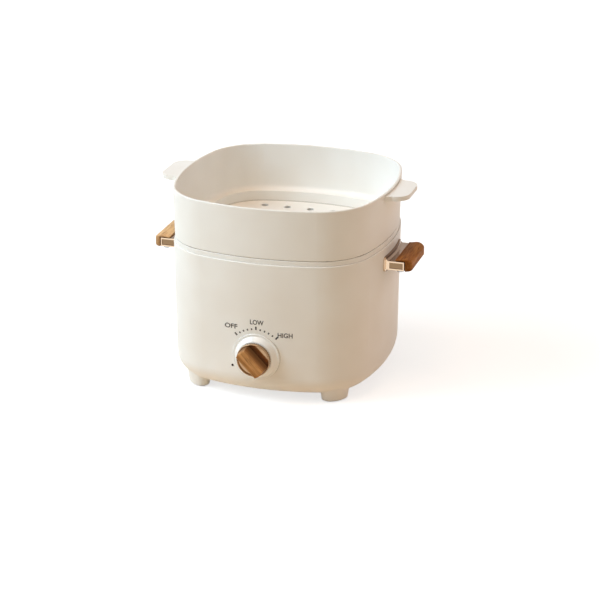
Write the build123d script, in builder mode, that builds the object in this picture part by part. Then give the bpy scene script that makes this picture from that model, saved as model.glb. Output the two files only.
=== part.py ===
"""A square countertop electric cooker with a lift-off steamer basket and a dial thermostat.

Millimetres, +Z up. The origin is on the counter, on the upright axis of the body.
The dial is on the front, towards -Y, and the carrying handles are on the left and right.
"""

import os
from math import atan2, cos, degrees, radians, sin, sqrt, tan

from build123d import *

os.makedirs("parts", exist_ok=True)

# Overall sizes
body_width = 202.2
side_bow_radius = 210.0
corner_radius = 55.0
foot_height = 7.0
shell_height = 127.9
ring_height = 4.7
steamer_height = 47.0

# Outer shell
shell_wall = 2.5
shell_floor = 3.0
shell_draft = 0.8
bottom_edge_radius = 19.0
top_edge_radius = 0.8
foot_length = 25.7
foot_width = 16.7
foot_turn = 45.0
foot_draft = 8.0
foot_edge_radius = 1.0
foot_inset_x = 35.4
foot_inset_y = 30.8
pad_thickness = 1.0
pad_margin = 2.2
pad_stem_radius = 2.5
pad_stem_length = 4.0
pad_edge_radius = 0.3

# Fits
running_gap = 0.05
screw_gap = 0.1
slip_gap = 0.2

# Bottom access cover
cover_width = 95.0
cover_thickness = 2.5
cover_corner_radius = 8.0
cover_rim = 3.0
cover_overlap = 11.5
cover_screw_inset = 6.0
cover_boss_radius = 4.5
cover_boss_height = 8.0
vent_slot_length = 20.0
vent_slot_width = 3.0
vent_pitch = 9.0
vent_column_pitch = 30.0
vent_columns = 2
vents_per_column = 6

# Top ring and cooking pot
ring_inset = 1.2
ring_ledge = 1.9
ring_tongue_depth = 4.0
ring_tongue_wall = 1.8
ring_edge_radius = 0.8
pot_inset = 9.0
pot_wall = 1.6
pot_floor = 2.0
pot_draft = 3.0
heater_room = 63.2
pot_edge_radius = 18.0
pot_flange_width = 2.2
pot_drop = 0.4
pot_ring_gap = 0.5

# Heater
plate_radius = 62.0
plate_thickness = 10.0
plate_edge_radius = 2.0
element_ring_radius = 44.0
element_radius = 3.4
element_sweep = 300.0
terminal_radius = 1.6
terminal_length = 16.0
terminal_setback = 4.0
post_count = 4
post_circle_radius = 55.0
post_radius = 5.0
lug_radius = 6.5
lug_height = 4.0
fuse_radius = 3.0
fuse_length = 12.0
fuse_offset = 18.0
clip_thickness = 0.8
clip_width = 9.0
clip_foot = 10.0

# Screws
screw_radius = 1.9
screw_head_radius = 3.6
screw_head_height = 2.2
recess_length = 3.6
recess_width = 0.9
recess_depth = 1.1
cover_screw_length = 9.0
heater_screw_grip = 7.0

# Dial thermostat, bezel and knob
dial_height = 45.1
off_angle = 44.0
thermostat_width = 30.0
thermostat_tall = 34.0
thermostat_depth = 22.0
thermostat_edge_radius = 2.0
bush_radius = 5.0
bush_proud = 0.4
thermostat_pad_radius = 12.0
thermostat_pad_reach = 2.0
nut_across_flats = 14.0
nut_thickness = 2.6
nut_sides = 6
shaft_radius = 3.0
shaft_flat = 2.2
shaft_depth = 8.0
bezel_base_radius = 22.2
bezel_flange = 1.2
bezel_flange_edge = 0.4
bezel_cone_radius = 20.0
bezel_front_radius = 16.2
bezel_depth = 5.4
bezel_floor = 3.0
bezel_recess_radius = 13.0
bezel_lip = 0.8
knob_standoff = 0.8
knob_radius = 15.6
knob_disc_depth = 1.4
knob_sleeve_radius = 10.6
knob_sleeve_wall = 1.6
knob_sleeve_depth = 2.2
knob_hub_radius = 4.3
dish_floor = 0.9
dish_rim_wall = 0.9
dish_rim_rise = 1.7
dish_rim_round = 0.4
flute_count = 44
flute_radius = 0.6
flute_depth = 0.35
flute_end = 0.7
knob_bar_width = 12.4
knob_bar_depth = 12.3
knob_bar_draft = 4.5
knob_bar_edge = 1.2
knob_socket = 9.0

# Indicator lamp
lamp_x = -23.3
lamp_height = 33.7
lens_radius = 1.1
lens_proud = 0.5
lens_seat_gap = 0.5
lens_collar_radius = 3.0
lens_collar = 1.2
lens_tail = 5.0
lens_taper = 2.0
lamp_radius = 2.6
lamp_length = 13.0
lamp_end_radius = 0.8

# Power inlet at the back
inlet_height = 35.3
inlet_width = 27.5
inlet_tall = 20.0
inlet_corner_radius = 3.0
inlet_depth = 22.0
inlet_flange = 3.0
inlet_flange_thickness = 2.2
inlet_edge_radius = 0.8
socket_wall = 1.6
socket_depth = 18.0
socket_corner_cut = 4.0
pin_width = 2.0
pin_tall = 4.0
pin_length = 14.0
pin_tail = 6.0
pin_spread = 7.0
pin_drop = 2.0
pin_chamfer = 0.5

# Terminal block
block_length = 28.0
block_depth = 14.0
block_tall = 13.0
block_x = -34.0
block_gap = 6.0
block_poles = 3
block_bore_radius = 2.0

# Carrying handles
handle_length = 54.0
bracket_reach = 17.0
bracket_height = 8.3
bracket_drop = 20.2
bracket_frame = 1.3
bracket_panel_depth = 0.8
bracket_edge_radius = 0.8
flange_thickness = 1.8
flange_height = 14.0
flange_rise = 0.5
flange_length = 57.0
flange_radius = 3.0
flange_root_radius = 2.4
grip_inner = 8.4
grip_crown_reach = 16.4
grip_shoulder_reach = 21.9
grip_outer = 23.5
grip_inner_edge = 0.5
grip_crown = 2.3
grip_shoulder = 0.9
grip_side_top = 1.2
grip_drop = 0.4
grip_corner_radius = 6.0
grip_reveal = 0.9
grip_reveal_depth = 1.5
grip_end_radius = 2.0
grip_bottom_radius = 1.2
handle_screw_spread = 30.0
handle_screw_length = 14.0
handle_spot_depth = 0.5
grip_screw_spread = 44.0
grip_screw_reach = 12.5
grip_screw_length = 9.2
grip_boss_radius = 3.4
grip_boss_depth = 3.0

# Steamer basket
steamer_wall = 2.6
steamer_draft = 1.5
steamer_ledge = 2.2
steamer_bottom_radius = 1.2
steamer_inner_radius = 4.0
rim_radius = 0.9
skirt_gap = 1.2
skirt_depth = 10.0
skirt_wall = 2.0
skirt_floor = 2.4
steam_hole_radius = 3.4
steam_hole_pitch = 23.0
steam_hole_margin = 8.0
tab_drop = 2.2
tab_thickness = 4.2
tab_reach = 17.8
tab_width = 51.0
tab_root_width = 64.0
tab_root_length = 8.0
tab_corner_radius = 13.0

# Heights and places that follow from those sizes
half_width = body_width / 2
shell_bottom = foot_height
shell_top = shell_bottom + shell_height
ring_top = shell_top + ring_height
rim_top = ring_top + steamer_height
floor_top = shell_bottom + shell_floor
pot_rim = ring_top - pot_drop
pot_base = floor_top + heater_room
plate_base = pot_base - plate_thickness
post_top = plate_base - lug_height
foot_x = half_width - foot_inset_x
foot_y = half_width - foot_inset_y
foot_places = [
    Location((sx * foot_x, sy * foot_y, 0), (0, 0, -foot_turn * sx * sy)) for sx in (-1, 1) for sy in (-1, 1)
]
foot_names = ["front_left", "rear_left", "front_right", "rear_right"]
opening_width = cover_width - 2 * cover_overlap
cover_screw_spacing = cover_width - 2 * cover_screw_inset


def half_width_at(height):
    """Half the outer width of the drafted shell at a height."""
    return half_width - (shell_top - height) * tan(radians(shell_draft))


def plan_outline(inset, height):
    """The square with bowed sides that the walls follow in plan, moved in by inset."""
    bow = side_bow_radius - inset
    corner = corner_radius - inset
    side_centre = half_width - side_bow_radius
    spread = bow - corner
    corner_centre = (side_centre + sqrt(2 * spread**2 - side_centre**2)) / 2
    meeting = degrees(atan2(corner_centre, corner_centre - side_centre))
    corner_place = corner_centre * sqrt(2)
    with BuildSketch(Plane.XY.offset(height)) as outline:
        with BuildLine():
            for turn in range(0, 360, 90):
                side_at = (side_centre * cos(radians(turn)), side_centre * sin(radians(turn)))
                diagonal = radians(turn + 45)
                corner_at = (corner_place * cos(diagonal), corner_place * sin(diagonal))
                CenterArc(side_at, bow, turn - meeting, 2 * meeting)
                CenterArc(corner_at, corner, turn + meeting, 90 - 2 * meeting)
        make_face()
    return outline.sketch


def drafted_block(inset, bottom, top, draft, edge_radius=0.0):
    """A block inside the plan outline that widens upwards to that inset at its top."""
    lean = (top - bottom) * tan(radians(draft))
    with BuildPart() as block:
        extrude(plan_outline(inset + lean, bottom), amount=top - bottom, taper=-draft)
        if edge_radius:
            fillet(block.faces().sort_by(Axis.Z)[0].edges(), edge_radius)
    return block.part


def shell_block(inset, bottom=shell_bottom, edge_radius=bottom_edge_radius):
    """A block inside the shell's outer face, moved in by inset."""
    return drafted_block(inset, bottom, shell_top, shell_draft, edge_radius)


def pan_screw(seat, length):
    """A cross-recessed pan-head screw: its head lies on the seat plane, its shank runs behind."""
    with BuildPart() as screw:
        with BuildSketch(seat):
            Circle(screw_head_radius)
        extrude(amount=screw_head_height)
        crown = screw.faces().sort_by(Axis(seat.origin, seat.z_dir))[-1]
        fillet(crown.edges(), screw_head_height / 2)
        with BuildSketch(seat.offset(screw_head_height)):
            Rectangle(recess_length, recess_width)
            Rectangle(recess_width, recess_length)
        extrude(amount=-recess_depth, mode=Mode.SUBTRACT)
        with BuildSketch(seat):
            Circle(screw_radius)
        extrude(amount=-length)
    return screw.part


def write(piece, name):
    """Labels a finished piece and writes it as its own file."""
    piece.label = name
    export_step(piece, f"parts/{name}.step")


# The dial faces the front: its plane's z axis points at the cook, and its y axis points up
dial_face = half_width_at(dial_height)
dial = Plane(origin=(0, -dial_face, dial_height), x_dir=(1, 0, 0), z_dir=(0, -1, 0))
dial_section = Plane(origin=dial.origin, x_dir=(1, 0, 0), z_dir=(0, 0, -1))
dial_axis = Axis(dial.origin, (0, -1, 0))
thermostat_seat = -shell_wall - thermostat_pad_reach
thermostat_front = dial.offset(thermostat_seat)
nut_top = bezel_floor + nut_thickness
bush_end = nut_top + bush_proud

# The inlet faces the back
inlet_face = half_width_at(inlet_height)
inlet = Plane(origin=(0, inlet_face, inlet_height), x_dir=(-1, 0, 0), z_dir=(0, 1, 0))

# The lamp's lens looks out of the front
lens_sagitta = side_bow_radius - sqrt(side_bow_radius**2 - lamp_x**2)
lens_face = half_width_at(lamp_height) - lens_sagitta
lens = Plane(origin=(lamp_x, -lens_face, lamp_height), x_dir=(1, 0, 0), z_dir=(0, -1, 0))

# The handles' screws come through the side walls from inside
bracket_bottom = shell_top - bracket_drop
bracket_top = bracket_bottom + bracket_height
handle_screw_height = bracket_bottom + bracket_height / 2
handle_screw_sag = side_bow_radius - sqrt(side_bow_radius**2 - (handle_screw_spread / 2) ** 2)
handle_wall_face = half_width_at(handle_screw_height) - handle_screw_sag - shell_wall
handle_screw_seat = handle_wall_face + handle_spot_depth

# A foot is an oval that widens upwards into the shell's bottom round
foot_top = shell_bottom + bottom_edge_radius / 2
foot_lean = (foot_top - pad_thickness) * tan(radians(foot_draft))
with BuildPart() as corner_foot:
    with BuildSketch(Plane.XY.offset(pad_thickness)):
        Ellipse(foot_length / 2, foot_width / 2)
    with BuildSketch(Plane.XY.offset(foot_top)):
        Ellipse(foot_length / 2 + foot_lean, foot_width / 2 + foot_lean)
    loft()
    fillet(corner_foot.faces().sort_by(Axis.Z)[0].edges(), foot_edge_radius)

# Outer shell: one moulding with its feet, posts and bosses
with BuildPart() as outer_shell:
    add(shell_block(0))
    fillet(outer_shell.faces().sort_by(Axis.Z)[-1].edges(), top_edge_radius)
    with Locations(*foot_places):
        add(corner_foot.part)
    add(shell_block(shell_wall, floor_top, bottom_edge_radius - shell_wall), mode=Mode.SUBTRACT)
    with BuildSketch(Plane.XY.offset(floor_top)):
        with PolarLocations(post_circle_radius, post_count):
            Circle(post_radius)
    extrude(amount=post_top - floor_top)
    with BuildSketch(Plane.XY.offset(floor_top)):
        RectangleRounded(cover_width + 2 * cover_rim, cover_width + 2 * cover_rim, cover_corner_radius)
    extrude(amount=cover_thickness)
    with BuildSketch(Plane.XY.offset(floor_top)):
        with GridLocations(cover_screw_spacing, cover_screw_spacing, 2, 2):
            Circle(cover_boss_radius)
    extrude(amount=cover_boss_height)
    with BuildSketch(thermostat_front):
        Circle(thermostat_pad_radius)
    extrude(amount=thermostat_pad_reach + shell_wall / 2)
    # Recess and opening for the cover, then the holes for screws, pads, bush, lens and inlet
    with BuildSketch(Plane.XY.offset(shell_bottom)):
        RectangleRounded(cover_width + 2 * slip_gap, cover_width + 2 * slip_gap, cover_corner_radius)
    extrude(amount=cover_thickness, mode=Mode.SUBTRACT)
    with BuildSketch(Plane.XY.offset(shell_bottom)):
        RectangleRounded(opening_width, opening_width, cover_corner_radius)
    extrude(amount=cover_thickness + shell_floor, mode=Mode.SUBTRACT)
    with BuildSketch(Plane.XY.offset(shell_bottom)):
        with GridLocations(cover_screw_spacing, cover_screw_spacing, 2, 2):
            Circle(screw_radius + screw_gap)
    extrude(amount=shell_floor + cover_boss_height, mode=Mode.SUBTRACT)
    with BuildSketch(Plane.XY.offset(shell_bottom)):
        with PolarLocations(post_circle_radius, post_count):
            Circle(screw_head_radius + slip_gap)
    extrude(amount=post_top - heater_screw_grip - shell_bottom, mode=Mode.SUBTRACT)
    with BuildSketch(Plane.XY.offset(shell_bottom)):
        with PolarLocations(post_circle_radius, post_count):
            Circle(screw_radius + screw_gap)
    extrude(amount=post_top - shell_bottom, mode=Mode.SUBTRACT)
    with BuildSketch(Plane.XY.offset(pad_thickness)):
        with Locations(*foot_places):
            Circle(pad_stem_radius + screw_gap)
    extrude(amount=pad_stem_length + slip_gap, mode=Mode.SUBTRACT)
    with BuildSketch(thermostat_front):
        Circle(bush_radius + slip_gap)
    extrude(amount=thermostat_pad_reach + 2 * shell_wall, mode=Mode.SUBTRACT)
    with BuildSketch(lens):
        Circle(lens_radius + screw_gap)
    extrude(amount=2 * shell_wall, both=True, mode=Mode.SUBTRACT)
    with BuildSketch(inlet):
        RectangleRounded(inlet_width + 2 * slip_gap, inlet_tall + 2 * slip_gap, inlet_corner_radius)
    extrude(amount=2 * shell_wall, both=True, mode=Mode.SUBTRACT)
    with BuildSketch(Plane.YZ):
        with Locations((0, handle_screw_height)):
            with GridLocations(handle_screw_spread, 1, 2, 1):
                Circle(screw_radius + screw_gap)
    extrude(amount=half_width, both=True, mode=Mode.SUBTRACT)
    # Flat seats inside the side walls for the heads of the handles' screws
    with BuildSketch(Plane.YZ):
        with Locations((0, handle_screw_height)):
            with GridLocations(handle_screw_spread, 1, 2, 1):
                Circle(screw_head_radius + slip_gap)
    extrude(amount=handle_screw_seat, both=True, mode=Mode.SUBTRACT)
write(outer_shell.part, "outer_shell")

# Rubber pads with stems, pushed into the feet
for place, side in zip(foot_places, foot_names):
    with BuildPart() as foot_pad:
        with BuildSketch(Plane.XY):
            with Locations(place):
                Ellipse(foot_length / 2 - pad_margin, foot_width / 2 - pad_margin)
        extrude(amount=pad_thickness)
        fillet(foot_pad.faces().sort_by(Axis.Z)[0].edges(), pad_edge_radius)
        with BuildSketch(Plane.XY.offset(pad_thickness)):
            with Locations(place):
                Circle(pad_stem_radius)
        extrude(amount=pad_stem_length)
    write(foot_pad.part, f"foot_pad_{side}")

# Access cover, flush with the underside of the shell, with its vent slots
with BuildPart() as bottom_cover:
    with BuildSketch(Plane.XY.offset(shell_bottom)):
        RectangleRounded(cover_width, cover_width, cover_corner_radius)
        with GridLocations(vent_column_pitch, vent_pitch, vent_columns, vents_per_column):
            SlotOverall(vent_slot_length, vent_slot_width, mode=Mode.SUBTRACT)
        with GridLocations(cover_screw_spacing, cover_screw_spacing, 2, 2):
            Circle(screw_radius + screw_gap, mode=Mode.SUBTRACT)
    extrude(amount=cover_thickness)
write(bottom_cover.part, "bottom_cover")

cover_underside = Plane(origin=(0, 0, shell_bottom), x_dir=(1, 0, 0), z_dir=(0, 0, -1))
with BuildPart() as cover_screws:
    with GridLocations(cover_screw_spacing, cover_screw_spacing, 2, 2):
        add(pan_screw(cover_underside, cover_screw_length))
write(cover_screws.part, "cover_screws")

# Top ring: closes the gap between shell and pot and carries the pot's flange
ring_inner = pot_inset - pot_wall - pot_ring_gap
rebate_floor = pot_rim - pot_wall
with BuildPart() as top_ring:
    extrude(plan_outline(ring_inset, shell_top), amount=ring_height)
    fillet(top_ring.faces().sort_by(Axis.Z)[-1].edges(), ring_edge_radius)
    extrude(plan_outline(ring_inner, shell_top), amount=ring_height, mode=Mode.SUBTRACT)
    extrude(plan_outline(ring_inner - ring_ledge, rebate_floor), amount=ring_height, mode=Mode.SUBTRACT)
    extrude(plan_outline(shell_wall + slip_gap, shell_top), amount=-ring_tongue_depth)
    extrude(
        plan_outline(shell_wall + slip_gap + ring_tongue_wall, shell_top),
        amount=-ring_tongue_depth,
        mode=Mode.SUBTRACT,
    )
write(top_ring.part, "top_ring")

# Cooking pot: drawn with a rounded floor and a flange that hangs on the top ring
flange_inset = pot_inset - pot_wall - pot_flange_width
with BuildPart() as inner_pot:
    add(drafted_block(pot_inset - pot_wall, pot_base, pot_rim, pot_draft, pot_edge_radius))
    extrude(plan_outline(flange_inset, rebate_floor), amount=pot_wall)
    add(
        drafted_block(pot_inset, pot_base + pot_floor, pot_rim, pot_draft, pot_edge_radius - pot_wall),
        mode=Mode.SUBTRACT,
    )
write(inner_pot.part, "inner_pot")

# Heating plate: a casting pressed under the pot, with lugs that stand on the shell's posts
element_start = (360 - element_sweep) / 2 + 90
with BuildPart() as heating_plate:
    with BuildSketch(Plane.XY.offset(plate_base)):
        Circle(plate_radius)
    extrude(amount=plate_thickness)
    fillet(heating_plate.faces().sort_by(Axis.Z)[0].edges(), plate_edge_radius)
    with BuildSketch(Plane.XY.offset(post_top)):
        with PolarLocations(post_circle_radius, post_count):
            Circle(lug_radius)
    extrude(amount=lug_height)
    with BuildSketch(Plane.XY.offset(post_top)):
        with PolarLocations(post_circle_radius, post_count):
            Circle(screw_radius + screw_gap)
    extrude(amount=lug_height + plate_thickness / 2, mode=Mode.SUBTRACT)
    with BuildSketch(Plane.XZ):
        with Locations((element_ring_radius, plate_base)):
            Circle(element_radius + screw_gap)
    revolve(axis=Axis.Z, mode=Mode.SUBTRACT)
write(heating_plate.part, "heating_plate")

# Sheathed element: an open ring in the plate's groove, with a connecting pin at each end
terminal_turns = [element_start + terminal_setback, element_start + element_sweep - terminal_setback]
terminal_places = [
    (element_ring_radius * cos(radians(turn)), element_ring_radius * sin(radians(turn)))
    for turn in terminal_turns
]
with BuildPart() as heating_element:
    with BuildLine() as element_path:
        CenterArc((0, 0, plate_base), element_ring_radius, element_start, element_sweep)
    with BuildSketch(Plane.XY.offset(plate_base)):
        with Locations(*terminal_places):
            Circle(terminal_radius)
    extrude(amount=-terminal_length)
    with BuildSketch(Plane(origin=element_path.line @ 0, z_dir=element_path.line % 0)):
        Circle(element_radius)
    sweep(path=element_path.line)
write(heating_element.part, "heating_element")

# Thermal fuse under the plate, held by a spring clip
fuse_centre = plate_base - fuse_radius
with BuildPart() as thermal_fuse:
    with BuildSketch(Plane.XZ.offset(-fuse_length / 2)):
        with Locations((fuse_offset, fuse_centre)):
            Circle(fuse_radius)
    extrude(amount=fuse_length)
write(thermal_fuse.part, "thermal_fuse")

clip_inner = fuse_radius + running_gap
clip_outer = clip_inner + clip_thickness
with BuildPart() as fuse_clip:
    with BuildSketch(Plane.XZ.offset(-clip_width / 2)):
        with Locations((fuse_offset, fuse_centre)):
            Circle(clip_outer)
        with Locations((fuse_offset, plate_base - fuse_radius / 2)):
            Rectangle(2 * clip_outer, fuse_radius)
        with Locations((fuse_offset, plate_base - clip_thickness / 2)):
            Rectangle(2 * (clip_outer + clip_foot), clip_thickness)
        with Locations((fuse_offset, fuse_centre)):
            Circle(clip_inner, mode=Mode.SUBTRACT)
        with Locations((fuse_offset, plate_base - fuse_radius / 2)):
            Rectangle(2 * clip_inner, fuse_radius, mode=Mode.SUBTRACT)
    extrude(amount=clip_width)
    split(bisect_by=Plane.XY.offset(plate_base), keep=Keep.BOTTOM)
write(fuse_clip.part, "fuse_clip")

# Screws up through the posts into the heating plate
post_seat = Plane(origin=(0, 0, post_top - heater_screw_grip), x_dir=(1, 0, 0), z_dir=(0, 0, -1))
with BuildPart() as heater_screws:
    with PolarLocations(post_circle_radius, post_count):
        add(pan_screw(post_seat, heater_screw_grip + lug_height + plate_thickness / 2 - slip_gap))
write(heater_screws.part, "heater_screws")

# Dial thermostat behind the front wall, clamped by its bush and nut
with BuildPart() as thermostat:
    with BuildSketch(thermostat_front):
        Rectangle(thermostat_width, thermostat_tall)
    extrude(amount=-thermostat_depth)
    fillet(thermostat.edges().filter_by(Axis.Y), thermostat_edge_radius)
    with BuildSketch(thermostat_front):
        Circle(bush_radius)
    extrude(amount=bush_end - thermostat_seat)
    with BuildSketch(thermostat_front.offset(-shaft_depth)):
        Circle(shaft_radius + running_gap)
    extrude(amount=shaft_depth + bush_end - thermostat_seat, mode=Mode.SUBTRACT)
write(thermostat.part, "thermostat")

# Bezel: a flange and a shallow cone on the front wall, with a recess for the nut and the knob's sleeve
with BuildPart() as dial_bezel:
    with BuildSketch(dial_section):
        with BuildLine():
            Polyline(
                (bush_radius + slip_gap, -shell_wall),
                (bezel_base_radius, -shell_wall),
                (bezel_base_radius, bezel_flange),
                (bezel_cone_radius, bezel_flange),
                (bezel_front_radius, bezel_depth),
                (bezel_recess_radius, bezel_depth),
                (bezel_recess_radius, bezel_floor),
                (bush_radius + slip_gap, bezel_floor),
                close=True,
            )
        make_face()
    revolve(axis=dial_axis)
    fillet(dial_bezel.edges().filter_by(GeomType.CIRCLE).group_by(Axis.Y)[0], bezel_lip)
    widest = dial_bezel.edges().filter_by(GeomType.CIRCLE).group_by(SortBy.RADIUS)[-1]
    fillet(widest.sort_by(Axis.Y)[0], bezel_flange_edge)
    add(shell_block(0), mode=Mode.SUBTRACT)
write(dial_bezel.part, "dial_bezel")

with BuildPart() as thermostat_nut:
    with BuildSketch(dial.offset(bezel_floor)):
        RegularPolygon(nut_across_flats / 2, nut_sides, major_radius=False)
        Circle(bush_radius + running_gap, mode=Mode.SUBTRACT)
    extrude(amount=nut_thickness)
write(thermostat_nut.part, "thermostat_nut")

# Turning pieces: shaft, knob body, plated dish and wood-look bar
knob_back = bezel_depth + knob_standoff
dish_back = knob_back + knob_disc_depth
dish_front = dish_back + dish_floor
hub_start = bush_end + knob_standoff
hub_end = dish_front + knob_socket
dish_inner = knob_radius - dish_rim_wall
off_tilt = radians(off_angle)
dial_off = Plane(origin=dial.origin, x_dir=(cos(off_tilt), 0, sin(off_tilt)), z_dir=dial.z_dir)
shaft_back = thermostat_seat - shaft_depth + slip_gap


def shaft_section(radius, flat):
    """A round shaft section with one flat, drawn into the open sketch."""
    Circle(radius)
    with Locations((0, -flat - radius)):
        Rectangle(2 * radius, 2 * radius, mode=Mode.SUBTRACT)


with BuildPart() as dial_shaft:
    with BuildSketch(dial_off.offset(shaft_back)):
        Circle(shaft_radius)
    extrude(amount=bush_end - shaft_back)
    with BuildSketch(dial_off.offset(bush_end)):
        shaft_section(shaft_radius, shaft_flat)
    extrude(amount=hub_end - slip_gap - bush_end)
write(dial_shaft.part, "dial_shaft")

with BuildPart() as knob_body:
    with BuildSketch(dial_off.offset(knob_back)):
        Circle(dish_inner - running_gap)
    extrude(amount=knob_disc_depth)
    with BuildSketch(dial_off.offset(knob_back)):
        Circle(knob_sleeve_radius)
        Circle(knob_sleeve_radius - knob_sleeve_wall, mode=Mode.SUBTRACT)
    extrude(amount=-knob_sleeve_depth)
    with BuildSketch(dial_off.offset(hub_start)):
        Circle(knob_hub_radius)
    extrude(amount=hub_end - hub_start)
    with BuildSketch(dial_off.offset(bush_end)):
        shaft_section(shaft_radius + running_gap, shaft_flat + running_gap)
    extrude(amount=hub_end - bush_end, mode=Mode.SUBTRACT)
write(knob_body.part, "knob_body")

with BuildPart() as knob_dish:
    with BuildSketch(dial_off.offset(knob_back)):
        Circle(knob_radius)
    extrude(amount=dish_front + dish_rim_rise - knob_back)
    with BuildSketch(dial_off.offset(knob_back)):
        Circle(dish_inner)
    extrude(amount=knob_disc_depth, mode=Mode.SUBTRACT)
    with BuildSketch(dial_off.offset(dish_front)):
        Circle(dish_inner)
    extrude(amount=dish_rim_rise, mode=Mode.SUBTRACT)
    with BuildSketch(dial_off.offset(dish_back)):
        Circle(knob_hub_radius + running_gap)
    extrude(amount=dish_floor, mode=Mode.SUBTRACT)
    fillet(knob_dish.faces().sort_by(Axis.Y)[0].edges(), dish_rim_round)
    # Fluted edge for the fingers, stopping short of the rim
    with BuildSketch(dial_off.offset(knob_back)):
        with PolarLocations(knob_radius + flute_radius - flute_depth, flute_count):
            Circle(flute_radius)
    extrude(amount=dish_front + dish_rim_rise - flute_end - knob_back, mode=Mode.SUBTRACT)
write(knob_dish.part, "knob_dish")

with BuildPart() as knob_bar:
    with BuildSketch(dial_off.offset(dish_front)):
        Rectangle(knob_bar_width, 2 * knob_radius)
    extrude(amount=knob_bar_depth, taper=knob_bar_draft)
    with BuildSketch(dial_off.offset(dish_front)):
        Circle(dish_inner - running_gap)
    extrude(amount=knob_bar_depth, taper=knob_bar_draft, mode=Mode.INTERSECT)
    fillet(knob_bar.faces().sort_by(Axis.Y)[0].edges(), knob_bar_edge)
    with BuildSketch(dial_off.offset(dish_front)):
        Circle(knob_hub_radius + running_gap)
    extrude(amount=hub_end - dish_front, mode=Mode.SUBTRACT)
write(knob_bar.part, "knob_bar")

# Indicator: a lens that shows through the wall, with the neon lamp behind it
lens_back = lens.offset(-shell_wall - lens_seat_gap)
with BuildPart() as indicator_lens:
    with BuildSketch(lens_back):
        Circle(lens_radius)
    extrude(amount=shell_wall + lens_seat_gap + lens_proud)
    fillet(indicator_lens.faces().sort_by(Axis.Y)[0].edges(), lens_proud)
    with BuildSketch(lens_back):
        Circle(lens_collar_radius)
    extrude(amount=-lens_collar - lens_tail, taper=lens_taper)
write(indicator_lens.part, "indicator_lens")

with BuildPart() as indicator_lamp:
    with BuildSketch(lens_back.offset(-lens_collar - lens_tail)):
        Circle(lamp_radius)
    extrude(amount=-lamp_length)
    fillet(indicator_lamp.edges().filter_by(GeomType.CIRCLE), lamp_end_radius)
write(indicator_lamp.part, "indicator_lamp")

# Power inlet: a moulded socket pushed through the back wall, with its three pins
socket_half = inlet_width / 2 - socket_wall
socket_rise = inlet_tall / 2 - socket_wall
socket_floor = inlet.offset(-socket_depth)
pin_places = [(-pin_spread, -pin_drop), (0, pin_drop), (pin_spread, -pin_drop)]
with BuildPart() as power_inlet:
    with BuildSketch(inlet.offset(-shell_wall)):
        RectangleRounded(inlet_width + 2 * inlet_flange, inlet_tall + 2 * inlet_flange, inlet_corner_radius)
    extrude(amount=shell_wall + inlet_flange_thickness)
    fillet(power_inlet.faces().sort_by(Axis.Y)[-1].edges(), inlet_edge_radius)
    add(shell_block(0), mode=Mode.SUBTRACT)
    with BuildSketch(inlet):
        RectangleRounded(inlet_width, inlet_tall, inlet_corner_radius - slip_gap)
    extrude(amount=-inlet_depth)
    with BuildSketch(socket_floor):
        with BuildLine():
            Polyline(
                (-socket_half, -socket_rise),
                (socket_half, -socket_rise),
                (socket_half, socket_rise - socket_corner_cut),
                (socket_half - socket_corner_cut, socket_rise),
                (socket_corner_cut - socket_half, socket_rise),
                (-socket_half, socket_rise - socket_corner_cut),
                close=True,
            )
        make_face()
    extrude(amount=socket_depth + inlet_flange_thickness, mode=Mode.SUBTRACT)
    with BuildSketch(socket_floor):
        with Locations(*pin_places):
            Rectangle(pin_width + 2 * running_gap, pin_tall + 2 * running_gap)
    extrude(amount=socket_depth - inlet_depth, mode=Mode.SUBTRACT)
write(power_inlet.part, "power_inlet")

with BuildPart() as inlet_pins:
    with BuildSketch(inlet.offset(-inlet_depth - pin_tail)):
        with Locations(*pin_places):
            Rectangle(pin_width, pin_tall)
    extrude(amount=pin_tail + inlet_depth - socket_depth + pin_length)
    chamfer(inlet_pins.faces().group_by(Axis.Y)[-1].edges(), pin_chamfer)
write(inlet_pins.part, "inlet_pins")

# Terminal block on the shell's floor beside the inlet
block_y = inlet_face - inlet_depth - pin_tail - block_gap
block_pitch = block_length / block_poles
with BuildPart() as terminal_block:
    with BuildSketch(Plane.XY.offset(floor_top)):
        with Locations((block_x, block_y)):
            Rectangle(block_length, block_depth)
    extrude(amount=block_tall)
    with BuildSketch(Plane.XZ.offset(-block_y)):
        with Locations((block_x, floor_top + block_tall / 2)):
            with GridLocations(block_pitch, 1, block_poles, 1):
                Circle(block_bore_radius)
    extrude(amount=block_depth, both=True, mode=Mode.SUBTRACT)
write(terminal_block.part, "terminal_block")

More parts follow.
